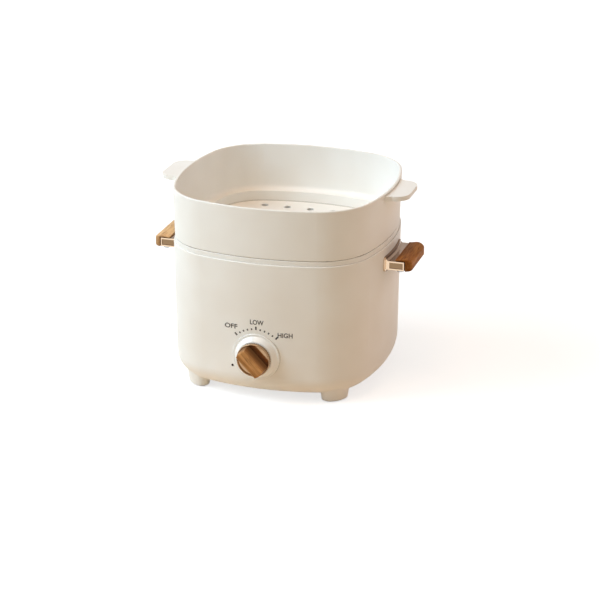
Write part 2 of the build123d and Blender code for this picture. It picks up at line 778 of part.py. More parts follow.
# Carrying handles: a plated bracket on the side wall and a wood-look grip over its top and end
bracket_end = half_width + bracket_reach
grip_bottom = bracket_bottom - grip_drop
with BuildPart() as bracket_right:
    add(shell_block(-flange_thickness))
    with BuildSketch(Plane.YZ):
        with Locations((0, bracket_bottom + bracket_height / 2 + flange_rise)):
            RectangleRounded(flange_length, flange_height, flange_radius)
    extrude(amount=bracket_end, mode=Mode.INTERSECT)
    with BuildSketch(Plane.XY.offset(bracket_bottom)):
        with Locations((bracket_end / 2, 0)):
            Rectangle(bracket_end, handle_length)
    extrude(amount=bracket_height)
    arcs = bracket_right.edges().filter_by(GeomType.CIRCLE)
    root = arcs.filter_by_position(Axis.Z, bracket_top - slip_gap, bracket_top + slip_gap)
    fillet(root, flange_root_radius)
    fillet(bracket_right.faces().sort_by(Axis.X)[-1].edges(), bracket_edge_radius)
    panel_start = half_width + flange_thickness + bracket_frame
    panel_end = bracket_end - bracket_frame
    with BuildSketch(Plane.XZ):
        with Locations(((panel_start + panel_end) / 2, bracket_bottom + bracket_height / 2)):
            Rectangle(panel_end - panel_start, bracket_height - 2 * bracket_frame)
    panels = extrude(amount=handle_length, both=True, mode=Mode.PRIVATE)
    with BuildSketch(Plane.XY.offset(bracket_bottom)):
        Rectangle(2 * bracket_end, handle_length - 2 * bracket_panel_depth)
    keep = extrude(amount=bracket_height, mode=Mode.PRIVATE)
    add(panels - keep, mode=Mode.SUBTRACT)
    add(shell_block(0), mode=Mode.SUBTRACT)
    with BuildSketch(Plane.YZ):
        with Locations((0, handle_screw_height)):
            with GridLocations(handle_screw_spread, 1, 2, 1):
                Circle(screw_radius + screw_gap)
    extrude(amount=handle_screw_seat + handle_screw_length + slip_gap, mode=Mode.SUBTRACT)
    with BuildSketch(Plane.XY.offset(bracket_bottom)):
        with Locations((half_width + grip_screw_reach, 0)):
            with GridLocations(1, grip_screw_spread, 1, 2):
                Circle(screw_radius + screw_gap)
    extrude(amount=bracket_height, mode=Mode.SUBTRACT)
    with BuildSketch(Plane.XY.offset(bracket_top)):
        with Locations((half_width + grip_screw_reach, 0)):
            with GridLocations(1, grip_screw_spread, 1, 2):
                Circle(grip_boss_radius + running_gap)
    extrude(amount=-grip_boss_depth, mode=Mode.SUBTRACT)
write(bracket_right.part, "handle_bracket_right")

with BuildPart() as grip_right:
    # Its section falls to a thin edge over the bracket, rises to a crown and rounds over to a straight side
    with BuildSketch(Plane.XZ.offset(-handle_length / 2)):
        with BuildLine():
            Spline(
                (half_width + grip_inner, bracket_top + grip_inner_edge),
                (half_width + grip_crown_reach, bracket_top + grip_crown),
                (half_width + grip_shoulder_reach, bracket_top + grip_shoulder),
                (half_width + grip_outer, bracket_top - grip_side_top),
                tangents=((1, 0), (0, -1)),
            )
            Polyline(
                (half_width + grip_outer, bracket_top - grip_side_top),
                (half_width + grip_outer, grip_bottom),
                (half_width + grip_inner, grip_bottom),
                (half_width + grip_inner, bracket_top + grip_inner_edge),
            )
        make_face()
    extrude(amount=handle_length)
    with BuildSketch(Plane.XY.offset(grip_bottom)):
        with Locations((half_width + (grip_inner + grip_outer) / 2, 0)):
            plan = Rectangle(grip_outer - grip_inner, handle_length)
        fillet(plan.vertices().group_by(Axis.X)[-1], grip_corner_radius)
    extrude(amount=2 * bracket_height, mode=Mode.INTERSECT)
    # Rounded ends, drawn as an arch seen from the side
    with BuildSketch(Plane.YZ):
        with Locations((0, bracket_top)):
            arch = Rectangle(handle_length, 2 * (grip_crown + slip_gap))
        fillet(arch.vertices().group_by(Axis.Y)[-1], grip_end_radius)
        with Locations((0, grip_bottom + bracket_height / 2)):
            Rectangle(handle_length, bracket_height)
    extrude(amount=half_width + grip_outer, mode=Mode.INTERSECT)
    fillet(grip_right.faces().sort_by(Axis.Z)[0].edges(), grip_bottom_radius)
    with BuildSketch(Plane.XY.offset(grip_bottom)):
        with Locations((half_width, 0)):
            Rectangle(2 * (bracket_reach + slip_gap), 2 * handle_length)
    extrude(amount=bracket_top - grip_bottom, mode=Mode.SUBTRACT)
    # A narrow reveal round the bracket at both ends of the grip
    with BuildSketch(Plane.XY.offset(grip_bottom)):
        with Locations((half_width, 0)):
            with GridLocations(1, handle_length, 1, 2):
                Rectangle(2 * (bracket_reach + grip_reveal), 2 * grip_reveal_depth)
    extrude(amount=bracket_top + grip_reveal - grip_bottom, mode=Mode.SUBTRACT)
    # Two bosses stand in the bracket's sockets and take the screws
    with BuildSketch(Plane.XY.offset(bracket_top - grip_boss_depth)):
        with Locations((half_width + grip_screw_reach, 0)):
            with GridLocations(1, grip_screw_spread, 1, 2):
                Circle(grip_boss_radius)
    extrude(amount=grip_boss_depth)
    with BuildSketch(Plane.XY.offset(bracket_bottom)):
        with Locations((half_width + grip_screw_reach, 0)):
            with GridLocations(1, grip_screw_spread, 1, 2):
                Circle(screw_radius + screw_gap)
    extrude(amount=grip_screw_length + slip_gap, mode=Mode.SUBTRACT)
write(grip_right.part, "handle_grip_right")

with BuildPart() as bracket_left:
    mirror(bracket_right.part, about=Plane.YZ)
write(bracket_left.part, "handle_bracket_left")

with BuildPart() as grip_left:
    mirror(grip_right.part, about=Plane.YZ)
write(grip_left.part, "handle_grip_left")

with BuildPart() as handle_screws:
    for side in (-1, 1):
        for along in (-1, 1):
            seat = Plane(
                origin=(side * handle_screw_seat, along * handle_screw_spread / 2, handle_screw_height),
                z_dir=(-side, 0, 0),
            )
            add(pan_screw(seat, handle_screw_length))
write(handle_screws.part, "handle_screws")

with BuildPart() as grip_screws:
    for side in (-1, 1):
        for along in (-1, 1):
            seat_x = side * (half_width + grip_screw_reach)
            seat_y = along * grip_screw_spread / 2
            seat = Plane(origin=(seat_x, seat_y, bracket_bottom), z_dir=(0, 0, -1))
            add(pan_screw(seat, grip_screw_length))
write(grip_screws.part, "grip_screws")

# Steamer basket: one moulding with a nesting skirt, a perforated floor and two lifting tabs
skirt_inset = pot_inset + skirt_gap
skirt_bottom = ring_top - skirt_depth
tab_top = rim_top - tab_drop
hole_reach = half_width - skirt_inset - skirt_wall - steam_hole_margin - steam_hole_radius
holes_across = 2 * int(hole_reach / steam_hole_pitch) + 1
hole_steps = [i - holes_across // 2 for i in range(holes_across)]
hole_limit = hole_reach + (corner_radius - skirt_inset) / 2 - steam_hole_margin
hole_places = [
    (i * steam_hole_pitch, j * steam_hole_pitch)
    for i in hole_steps
    for j in hole_steps
    if steam_hole_pitch * sqrt(i * i + j * j) < hole_limit
]
with BuildPart() as steamer_basket:
    add(drafted_block(0, ring_top, rim_top, steamer_draft, steamer_bottom_radius))
    for side in (-1, 1):
        with BuildSketch(Plane.XY.offset(tab_top - tab_thickness)):
            with BuildLine():
                Polyline(
                    (side * (half_width - tab_root_length), -tab_root_width / 2),
                    (side * (half_width + tab_root_length / 2), -tab_width / 2),
                    (side * (half_width + tab_reach), -tab_width / 2),
                    (side * (half_width + tab_reach), tab_width / 2),
                    (side * (half_width + tab_root_length / 2), tab_width / 2),
                    (side * (half_width - tab_root_length), tab_root_width / 2),
                    close=True,
                )
            tab = make_face()
            outer_corners = tab.vertices().sort_by(Axis.X)
            fillet(outer_corners[-2:] if side > 0 else outer_corners[:2], tab_corner_radius)
        extrude(amount=tab_thickness)
    extrude(plan_outline(skirt_inset, skirt_bottom), amount=skirt_depth + steamer_ledge)
    add(
        drafted_block(
            steamer_wall,
            ring_top + steamer_ledge,
            rim_top,
            steamer_draft,
            steamer_inner_radius,
        ),
        mode=Mode.SUBTRACT,
    )
    extrude(
        plan_outline(skirt_inset + skirt_wall, skirt_bottom + skirt_floor),
        amount=skirt_depth + steamer_ledge,
        mode=Mode.SUBTRACT,
    )
    fillet(steamer_basket.faces().sort_by(Axis.Z)[-1].edges(), rim_radius)
    with BuildSketch(Plane.XY.offset(skirt_bottom)):
        with Locations(*hole_places):
            Circle(steam_hole_radius)
    extrude(amount=skirt_floor, mode=Mode.SUBTRACT)
write(steamer_basket.part, "steamer_basket")
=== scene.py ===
# %% [markdown]
# # A square electric cooker with a steamer basket
#
# This file finishes a cooker whose solid pieces already exist as a fixed frame.
# We load that frame, light it as a product on a white table, and give every piece
# the finish its real material has. Then we close the handle grips and print the scale
# of the dial. Everything is in metres, with +Z up and the dial at the front, towards -Y.

# %% Load the frame
from math import cos, pi, radians, sin, sqrt

import bmesh
import bpy
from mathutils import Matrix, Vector
from mathutils.bvhtree import BVHTree


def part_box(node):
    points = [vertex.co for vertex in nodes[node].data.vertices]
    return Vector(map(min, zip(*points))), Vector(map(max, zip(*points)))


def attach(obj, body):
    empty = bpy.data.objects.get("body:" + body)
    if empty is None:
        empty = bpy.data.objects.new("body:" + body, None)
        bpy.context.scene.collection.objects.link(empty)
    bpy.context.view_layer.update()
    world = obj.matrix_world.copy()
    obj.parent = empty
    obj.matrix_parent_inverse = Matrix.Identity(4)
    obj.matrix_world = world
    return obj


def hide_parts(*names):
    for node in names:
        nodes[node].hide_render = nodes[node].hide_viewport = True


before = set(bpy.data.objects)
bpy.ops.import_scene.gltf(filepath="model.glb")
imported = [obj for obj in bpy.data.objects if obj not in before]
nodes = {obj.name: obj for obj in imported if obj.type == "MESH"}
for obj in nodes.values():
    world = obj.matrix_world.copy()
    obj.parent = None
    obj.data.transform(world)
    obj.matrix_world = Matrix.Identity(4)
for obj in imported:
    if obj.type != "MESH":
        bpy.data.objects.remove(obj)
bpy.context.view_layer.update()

MM = 0.001
print("pieces in the frame:", len(nodes))

# %% [markdown]
# ## Camera
# The photograph was taken from a little right of the front, and from above.
# A long lens far away keeps the upright edges nearly parallel, as they are there.
# We could place a camera by eye. Instead we write its direction as two angles
# and derive where it stands, so that each number means something.

# %% Place the camera
view_azimuth = radians(17.117)
view_elevation = radians(20.935)
view_distance = 2.0
focal_pixels = 2088.6
frame_pixels = 600
sensor_width = 36.0
aim_across, aim_rise, aim_drop = 0.01028, 0.06569, 0.0067

back = Vector((
    sin(view_azimuth) * cos(view_elevation),
    -cos(view_azimuth) * cos(view_elevation),
    sin(view_elevation),
))
right = Vector((cos(view_azimuth), sin(view_azimuth), 0))
up = back.cross(right)
aim = right * aim_across + up * aim_rise + Vector((0, 0, -aim_drop))

lens = bpy.data.cameras.new("photo_camera")
lens.sensor_width = sensor_width
lens.lens = focal_pixels / frame_pixels * sensor_width
camera = bpy.data.objects.new("photo_camera", lens)
camera.location = aim + back * view_distance
camera.rotation_euler = (-back).to_track_quat("-Z", "Y").to_euler()
bpy.context.scene.collection.objects.link(camera)
bpy.context.scene.camera = camera
bpy.context.scene.view_settings.view_transform = "Standard"
print("lens in mm:", round(lens.lens, 1))

# %% [markdown]
# ## Colours and nodes
# Colours are written as the hex values one would pick from a picture. A shader
# calculates in linear light, so one function converts them.
# A second small function adds a node, sets it and links it in one call.

# %% Convert colours and add nodes
def linear(code):
    """A colour like #f0ebe1 as the linear values that shaders use."""
    values = [int(code[i:i + 2], 16) / 255 for i in (1, 3, 5)]
    return [v / 12.92 if v <= 0.04045 else ((v + 0.055) / 1.055) ** 2.4 for v in values] + [1.0]


def add(tree, kind, sockets, **settings):
    """Adds a node. A socket gets a value, or a link if the value is another node's output."""
    node = tree.nodes.new(kind)
    for name, value in settings.items():
        setattr(node, name, value)
    for name, value in sockets.items():
        if isinstance(value, bpy.types.NodeSocket):
            tree.links.new(value, node.inputs[name])
        else:
            node.inputs[name].default_value = value
    return node


print("cream in linear light:", [round(x, 3) for x in linear("#f0ebe1")])

# %% [markdown]
# ## Table and background
# A product shot has a white sweep. Ours is a wide floor that looks white to the
# camera, in a mirror and through glass, but throws warm light back at the cooker's
# underside, as a beige table does. Part of the white is a glow and part is lit, so the
# cooker still leaves a soft shadow on it. Farther away the glow takes over, and the floor
# meets the white background without an edge. From below the floor is clear, so that the
# underside can be looked at.

# %% Lay the floor
floor_size = 8.0
floor_cells = 8
floor_sink = 0.05 * MM
mesh = bpy.data.meshes.new("floor")
shape = bmesh.new()
bmesh.ops.create_grid(shape, x_segments=floor_cells, y_segments=floor_cells, size=floor_size / 2)
shape.to_mesh(mesh)
shape.free()
floor = bpy.data.objects.new("floor", mesh)
floor.location.z = -floor_sink
bpy.context.scene.collection.objects.link(floor)
print("floor laid,", floor_size, "m wide")

# %% Paint the floor
def seen_directly(tree):
    """1 for rays from the camera, off a gloss or through glass, and 0 for light that bounces."""
    path = add(tree, "ShaderNodeLightPath", {})
    seen = path.outputs["Is Camera Ray"]
    for ray in ("Is Glossy Ray", "Is Transmission Ray"):
        seen = add(tree, "ShaderNodeMath", {
            0: seen, 1: path.outputs[ray],
        }, operation="MAXIMUM").outputs[0]
    return seen


glow_near, glow_far = 0.3, 1.2
glow_least, glow_most = 0.68, 1.0
sweep = bpy.data.materials.new("painted_board_white_sweep")
sweep.use_nodes = True
tree = sweep.node_tree
tree.nodes.clear()
seen = seen_directly(tree)
colour = add(tree, "ShaderNodeMix", {
    0: seen, 6: linear("#ecd2b1"), 7: linear("#c4c4c4"),
}, data_type="RGBA")
place = add(tree, "ShaderNodeTexCoord", {}).outputs["Object"]
away = add(tree, "ShaderNodeVectorMath", {0: place}, operation="LENGTH")
white = add(tree, "ShaderNodeMapRange", {
    "Value": away.outputs["Value"],
    "From Min": glow_near, "From Max": glow_far, "To Min": glow_least, "To Max": glow_most,
})
glow = add(tree, "ShaderNodeMath", {0: seen, 1: white.outputs[0]}, operation="MULTIPLY")
board = add(tree, "ShaderNodeBsdfPrincipled", {
    "Base Color": colour.outputs[2],
    "Roughness": 0.9,
    "Specular IOR Level": 0.0,
    "Emission Color": linear("#ffffff"),
    "Emission Strength": glow.outputs[0],
})
from_below = add(tree, "ShaderNodeNewGeometry", {}).outputs["Backfacing"]
clear = add(tree, "ShaderNodeBsdfTransparent", {})
one_sided = add(tree, "ShaderNodeMixShader", {
    0: from_below, 1: board.outputs["BSDF"], 2: clear.outputs[0],
})
add(tree, "ShaderNodeOutputMaterial", {"Surface": one_sided.outputs[0]})
mesh.materials.append(sweep)
print("painted with", sweep.name)

# %% [markdown]
# ## Room light
# The walls of a studio send weak light from everywhere, so no shade is quite black. The
# world does that with one even colour. Where the camera, a gloss or glass sees the world
# itself, it is plain white, because that is the picture's background.

# %% Light the room
ambient_level = 0.256
background_level = 1.0
world = bpy.data.worlds.new("white_studio")
bpy.context.scene.world = world
world.use_nodes = True
tree = world.node_tree
tree.nodes.clear()
seen = seen_directly(tree)
colour = add(tree, "ShaderNodeMix", {
    0: seen, 6: linear("#fcfff7"), 7: linear("#ffffff"),
}, data_type="RGBA")
level = add(tree, "ShaderNodeMapRange", {
    "Value": seen, "To Min": ambient_level, "To Max": background_level,
})
sky = add(tree, "ShaderNodeBackground", {"Color": colour.outputs[2], "Strength": level.outputs[0]})
add(tree, "ShaderNodeOutputWorld", {"Surface": sky.outputs["Background"]})
print("ambient level:", ambient_level)

# %% [markdown]
# ## Lamps
# The photograph's light comes from a large window on the left: the left of the
# body is almost white, and the right falls into warm shade. Two cool lamps on the left
# make that fall-off, as one wide window would. A warm softbox above lights rims and tabs,
# and a weak lamp on the right keeps the shade open.

# %% Hang the lamps
lamp_target = Vector((0, 0, 0.1))


def soft_lamp(name, azimuth, elevation, distance, size, power, colour):
    """A square lamp that looks at the middle of the cooker. Azimuth 0 is the front, 90 is +X."""
    a, e = radians(azimuth), radians(elevation)
    towards = Vector((sin(a) * cos(e), -cos(a) * cos(e), sin(e)))
    lamp = bpy.data.lights.new(name, "AREA")
    lamp.size = size
    lamp.energy = power
    lamp.color = linear(colour)[:3]
    holder = bpy.data.objects.new(name, lamp)
    holder.location = lamp_target + towards * distance
    holder.rotation_euler = (-towards).to_track_quat("-Z", "Y").to_euler()
    bpy.context.scene.collection.objects.link(holder)


soft_lamp("window", -68, 38, 1.7, 1.1, 21.2, "#d1eaff")
soft_lamp("window_front", -45, 30, 1.7, 1.1, 6.4, "#cae8ff")
soft_lamp("softbox", -20, 75, 1.8, 1.0, 11.3, "#ffd7b2")
soft_lamp("warm_fill", 110, 20, 1.6, 1.2, 5.4, "#ffe0d8")

# %% [markdown]
# ## Every material's start and end
# A pattern node has a scale, not a size, so a function turns the size of one cell in
# millimetres into that scale. Two more begin and end a material's node tree, because
# all of them read the same coordinates and close with the same kind of shader.

# %% Begin and end a material
def pattern_scale(size_mm):
    """The scale at which one cell of a pattern is size_mm wide."""
    return 1 / (size_mm * MM)


def open_material(name):
    """A new material, its node tree, and the coordinates of the object it is on, in metres."""
    material = bpy.data.materials.new(name)
    material.use_nodes = True
    material.node_tree.nodes.clear()
    place = add(material.node_tree, "ShaderNodeTexCoord", {}).outputs["Object"]
    return material, material.node_tree, place


def close_material(tree, sockets):
    """Ends a material with a Principled shader that has these values and links."""
    shader = add(tree, "ShaderNodeBsdfPrincipled", sockets)
    add(tree, "ShaderNodeOutputMaterial", {"Surface": shader.outputs["BSDF"]})


print("scale of a 1 mm pattern:", pattern_scale(1))

# %% [markdown]
# ## Cream polypropylene, injection moulded
# The shell, the top ring, the basket and the cover are cream plastic from a fine-eroded
# mould. The eye sees a soft satin, a very slight drift of tone over a hand's width, and
# a skin like fine orange peel. A noise pattern can make all three at different sizes.
# The real skin is about 0.1 mm fine. It is drawn coarser, at 1.2 mm, so that it shows.
# Where two pieces meet, the ambient occlusion node finds the nook, which gets painted shade.
# The bezel round the dial is a harder plastic from a polished mould.

# %% Paint shade into seams
# The ambient occlusion darkening below is painted shade in seams and nooks.
seam_reach = 3.0 * MM
seam_closed, seam_open = 0.15, 0.75


def with_painted_seam_shade(tree, colour, painted_shade):
    """The colour, turned to a painted shade where other surfaces stand within seam_reach."""
    nook = add(tree, "ShaderNodeAmbientOcclusion", {"Distance": seam_reach}, samples=8)
    open_share = add(tree, "ShaderNodeMapRange", {
        "Value": nook.outputs["AO"], "From Min": seam_closed, "From Max": seam_open,
    })
    return add(tree, "ShaderNodeMix", {
        0: open_share.outputs[0], 6: linear(painted_shade), 7: colour.outputs[2],
    }, data_type="RGBA")


print("grime reaches", seam_reach / MM, "mm out of a seam")

# %% Mould the cream plastic
drift_mm, haze_mm = 60, 14
plastic_specular = 0.3


def moulded_plastic(name, light, dark, ior, smooth, rough, peel_mm, peel_height, seam_shade=None):
    """Plastic with a slight drift of tone and gloss, and a moulded skin whose height is in mm.
    Where a nook colour is given, nooks get it as painted shade."""
    material, tree, place = open_material(name)
    drift = add(tree, "ShaderNodeTexNoise", {
        "Vector": place, "Scale": pattern_scale(drift_mm), "Detail": 2.0,
    })
    tone = add(tree, "ShaderNodeMapRange", {
        "Value": drift.outputs[0], "From Min": 0.35, "From Max": 0.65,
    })
    colour = add(tree, "ShaderNodeMix", {
        0: tone.outputs[0], 6: linear(light), 7: linear(dark),
    }, data_type="RGBA")
    # Nooks get painted shade.
    if seam_shade:
        colour = with_painted_seam_shade(tree, colour, seam_shade)
    haze = add(tree, "ShaderNodeTexNoise", {
        "Vector": place, "Scale": pattern_scale(haze_mm), "Detail": 3.0,
    })
    gloss = add(tree, "ShaderNodeMapRange", {
        "Value": haze.outputs[0],
        "From Min": 0.3, "From Max": 0.7, "To Min": smooth, "To Max": rough,
    })
    skin = add(tree, "ShaderNodeTexNoise", {
        "Vector": place, "Scale": pattern_scale(peel_mm), "Detail": 3.0,
    })
    peel = add(tree, "ShaderNodeBump", {
        "Height": skin.outputs[0], "Strength": 0.5, "Distance": peel_height * MM,
    })
    close_material(tree, {
        "Base Color": colour.outputs[2],
        "Roughness": gloss.outputs[0],
        "IOR": ior,
        "Specular IOR Level": plastic_specular,
        "Normal": peel.outputs[0],
    })
    return material


# The cream's nook colour #857969 is painted shade.
cream = moulded_plastic(
    "cream_polypropylene_moulded_satin", "#f5f2eb", "#f1ece3", 1.49, 0.40, 0.48, 1.2, 0.02,
    seam_shade="#857969",
)
bezel_cream = moulded_plastic(
    "cream_ABS_moulded_polished", "#f6f4ee", "#f2eee6", 1.53, 0.12, 0.18, 2.5, 0.01,
)
print("made", cream.name, "and", bezel_cream.name)

# %% [markdown]
# ## Silicone rubber and technical plastics, moulded
# The pads under the feet are soft and slightly greyer than the shell. Rubber scatters
# light evenly, so it gets a high roughness and a fine matt grain. The inlet and the knob's
# inner body are black with a fine texture. The electrical parts inside are phenolic, which
# is brown, hard and a little shiny. All are moulded, so the same function makes them.

# %% Mould the pads and the technical parts
pad_rubber = moulded_plastic(
    "silicone_rubber_moulded_matt", "#d9d3c6", "#cbc4b6", 1.41, 0.65, 0.78, 0.8, 0.05,
)
black = moulded_plastic(
    "black_PBT_moulded_textured", "#1d1c1b", "#262423", 1.57, 0.42, 0.52, 0.7, 0.04,
)
phenolic = moulded_plastic(
    "brown_phenolic_moulded", "#4a3022", "#3b261b", 1.60, 0.35, 0.46, 1.5, 0.03,
)
print("made", pad_rubber.name, black.name, phenolic.name)

# %% [markdown]
# ## Wood-effect grips
# The handles and the knob's bar have a brown grain under a clear lacquer. Grain is a
# pattern that is long one way and narrow across, so we stretch the coordinates along
# the piece before the noise reads them. Dark pores are a second, finer pattern, drawn
# 0.9 mm wide so that they show, though real ones are finer. The left grip's copy of the
# wood is paler and glossier, as painted light from the window, and the right one's is
# darker with little gloss, as painted shade beside the body. The grips' ends are darker
# too, as painted shade, and the bar's sides darken towards their root, as painted shade
# beside the dish. The normal tells these faces apart: it runs along Y at a grip's ends and
# on the bar's front, and across Y on their sides.

# %% Stretch a pattern along the grain
band_mm, band_length_mm = 3.5, 48
pore_mm, pore_length_mm = 0.9, 14


def stretched(tree, turned, across_mm, along_mm):
    """Coordinates in which one cell of a pattern is this wide across Y and this long along it."""
    across, along = pattern_scale(across_mm), pattern_scale(along_mm)
    return add(tree, "ShaderNodeMapping", {
        "Vector": turned.outputs[0], "Scale": (across, along, across),
    }).outputs[0]


print("scale along a band:", round(pattern_scale(band_length_mm), 1))

# %% Paint shade on the wood's ends and sides
# Both darkenings here are painted shade: at the grips' ends, and on the bar's sides towards the
# dish.
side_facing, end_facing = 0.2, 0.8
shade_at_front, shade_at_root = 0.35, 0.95


def painted_shade_share(tree, place, painted_end_shade, painted_root_shade):
    """The share of painted shade: the ends' share in faces along Y, and in the others what the
    depth in Y gives, between two depths if they are given."""
    on_sides = 0.0
    if painted_root_shade:
        depth = add(tree, "ShaderNodeSeparateXYZ", {0: place}).outputs["Y"]
        on_sides = add(tree, "ShaderNodeMapRange", {
            "Value": depth, "From Min": painted_root_shade[0], "From Max": painted_root_shade[1],
            "To Min": shade_at_front, "To Max": shade_at_root,
        }).outputs[0]
    normal = add(tree, "ShaderNodeNewGeometry", {}).outputs["Normal"]
    facing = add(tree, "ShaderNodeSeparateXYZ", {0: normal})
    along = add(tree, "ShaderNodeMath", {0: facing.outputs["Y"]}, operation="ABSOLUTE")
    return add(tree, "ShaderNodeMapRange", {
        "Value": along.outputs[0], "From Min": side_facing, "From Max": end_facing,
        "To Min": on_sides, "To Max": painted_end_shade,
    }).outputs[0]


print("stain on the bar's sides:", shade_at_front, "to", shade_at_root)

# %% Grain the wood
def grained_wood(name, pale, mid, dark, turn, lacquer, painted_end_shade=0.0, painted_root_shade=None):
    """Grain along Y, after a turn in radians about each axis, under a lacquer of some gloss."""
    material, tree, place = open_material(name)
    turned = add(tree, "ShaderNodeMapping", {"Vector": place, "Rotation": turn})
    bands = add(tree, "ShaderNodeTexNoise", {
        "Vector": stretched(tree, turned, band_mm, band_length_mm),
        "Scale": 1.0, "Detail": 5.0, "Roughness": 0.6, "Distortion": 0.5,
    })
    share = add(tree, "ShaderNodeMapRange", {
        "Value": bands.outputs[0], "From Min": 0.36, "From Max": 0.64,
    })
    ground = add(tree, "ShaderNodeMix", {
        0: share.outputs[0], 6: linear(mid), 7: linear(pale),
    }, data_type="RGBA")
    fibres = add(tree, "ShaderNodeTexNoise", {
        "Vector": stretched(tree, turned, pore_mm, pore_length_mm), "Scale": 1.0, "Detail": 3.0,
    })
    pores = add(tree, "ShaderNodeMapRange", {
        "Value": fibres.outputs[0], "From Min": 0.54, "From Max": 0.70, "To Max": 0.75,
    })
    veined = add(tree, "ShaderNodeMix", {
        0: pores.outputs[0], 6: ground.outputs[2], 7: linear(dark),
    }, data_type="RGBA")
    colour = add(tree, "ShaderNodeMix", {
        0: painted_shade_share(tree, place, painted_end_shade, painted_root_shade), 6: veined.outputs[2], 7: linear(dark),
    }, data_type="RGBA")
    gloss = add(tree, "ShaderNodeMapRange", {
        "Value": fibres.outputs[0], "To Min": 0.42, "To Max": 0.56,
    })
    relief = add(tree, "ShaderNodeBump", {
        "Height": fibres.outputs[0], "Strength": 0.35, "Distance": 0.05 * MM,
    })
    close_material(tree, {
        "Base Color": colour.outputs[2],
        "Roughness": gloss.outputs[0],
        "IOR": 1.50,
        "Specular IOR Level": lacquer,
        "Normal": relief.outputs[0],
    })
    return material


print("pores are", pore_mm, "mm wide and", pore_length_mm, "mm long")

# %% Cut the three woods
no_turn = (0, 0, 0)
# The left grip's paler, glossier wood is painted light, the right grip's darker, duller wood is
# painted shade, and both ends' darkening is painted shade.
grip_wood = {
    "left": grained_wood(
        "beech_lacquered_painted_lit", "#e0b37a", "#bf8e58", "#80542b", no_turn, 0.45, painted_end_shade=0.55,
    ),
    "right": grained_wood(
        "beech_lacquered_painted_shade", "#bd8146", "#955d2a", "#5b3718", no_turn, 0.04, painted_end_shade=0.40,
    ),
}
knob_off_angle = radians(44)
along_bar = (pi / 2, 0, knob_off_angle)
bar_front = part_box("knob_bar")[0].y
# The bar's sides are painted darker towards the dish, as painted shade.
bar_wood = grained_wood(
    "walnut_lacquered_side_shade_painted", "#cf985f", "#a5703e", "#735030", along_bar, 0.12,
    painted_root_shade=(bar_front + 2 * MM, bar_front + 8 * MM),
)
print("made", [m.name for m in grip_wood.values()], "and", bar_wood.name)

# %% [markdown]
# ## Metals
# Each metal is told apart by its colour and by what was done to its surface.
# Plating is smooth and mirrors its surroundings, zinc on screws is a little cloudy, a
# casting is grainy, and a sheath that gets hot is dull. One function sets these.

# %% Finish the metals
grains_per_cloud = 6


def metal(name, bright, dull, smooth, rough, grain_mm, grain_height):
    """Metal whose colour and gloss change a little over it. Grain size and height are in mm."""
    material, tree, place = open_material(name)
    cloud = add(tree, "ShaderNodeTexNoise", {
        "Vector": place, "Scale": pattern_scale(grain_mm * grains_per_cloud), "Detail": 3.0,
    })
    colour = add(tree, "ShaderNodeMix", {
        0: cloud.outputs[0], 6: linear(bright), 7: linear(dull),
    }, data_type="RGBA")
    gloss = add(tree, "ShaderNodeMapRange", {
        "Value": cloud.outputs[0],
        "From Min": 0.3, "From Max": 0.7, "To Min": smooth, "To Max": rough,
    })
    grain = add(tree, "ShaderNodeTexNoise", {
        "Vector": place, "Scale": pattern_scale(grain_mm), "Detail": 4.0,
    })
    relief = add(tree, "ShaderNodeBump", {
        "Height": grain.outputs[0], "Strength": 0.4, "Distance": grain_height * MM,
    })
    close_material(tree, {
        "Base Color": colour.outputs[2],
        "Metallic": 1.0,
        "Roughness": gloss.outputs[0],
        "Normal": relief.outputs[0],
    })
    return material


bracket_gold = metal("zinc_alloy_rose_gold_plated", "#94745a", "#7a5d45", 0.07, 0.14, 1.0, 0.004)
dish_gold = metal("steel_champagne_gold_plated", "#bd9c78", "#967656", 0.06, 0.12, 1.0, 0.004)
zinc_screw = metal("steel_zinc_plated", "#c6c8ca", "#a9acae", 0.24, 0.36, 0.6, 0.01)
casting = metal("aluminium_die_cast", "#b9b9b6", "#9c9c99", 0.42, 0.58, 1.0, 0.06)
sheath = metal("stainless_steel_annealed_sheath", "#a39a8e", "#7e756b", 0.30, 0.44, 0.8, 0.02)
brass = metal("brass_turned", "#d8b267", "#c29b50", 0.18, 0.28, 0.5, 0.01)
tin_case = metal("steel_drawn_tin_plated", "#cfccc6", "#b5b2ac", 0.22, 0.34, 0.7, 0.01)
metals = (bracket_gold, dish_gold, zinc_screw, casting, sheath, brass, tin_case)
print("metals:", [m.name for m in metals])

# %% [markdown]
# ## Non-stick coating, sprayed
# The pot's inside is dark grey with pale specks. Specks come from a cell pattern: only
# the middle of each cell is pale, and the cells are as far apart as the specks are.

# %% Spray the pot
speck_spacing_mm = 2.6
mist_mm = 0.8
pot_coating, tree, place = open_material("aluminium_non_stick_sprayed")
cells = add(tree, "ShaderNodeTexVoronoi", {
    "Vector": place, "Scale": pattern_scale(speck_spacing_mm),
})
speck = add(tree, "ShaderNodeMapRange", {
    "Value": cells.outputs["Distance"],
    "From Min": 0.10, "From Max": 0.20, "To Min": 1.0, "To Max": 0.0,
})
mist = add(tree, "ShaderNodeTexNoise", {
    "Vector": place, "Scale": pattern_scale(mist_mm), "Detail": 3.0,
})
ground = add(tree, "ShaderNodeMix", {
    0: mist.outputs[0], 6: linear("#33312f"), 7: linear("#454240"),
}, data_type="RGBA")
colour = add(tree, "ShaderNodeMix", {
    0: speck.outputs[0], 6: ground.outputs[2], 7: linear("#a7a29b"),
}, data_type="RGBA")
gloss = add(tree, "ShaderNodeMapRange", {
    "Value": mist.outputs[0], "To Min": 0.36, "To Max": 0.52,
})
relief = add(tree, "ShaderNodeBump", {
    "Height": mist.outputs[0], "Strength": 0.3, "Distance": 0.03 * MM,
})
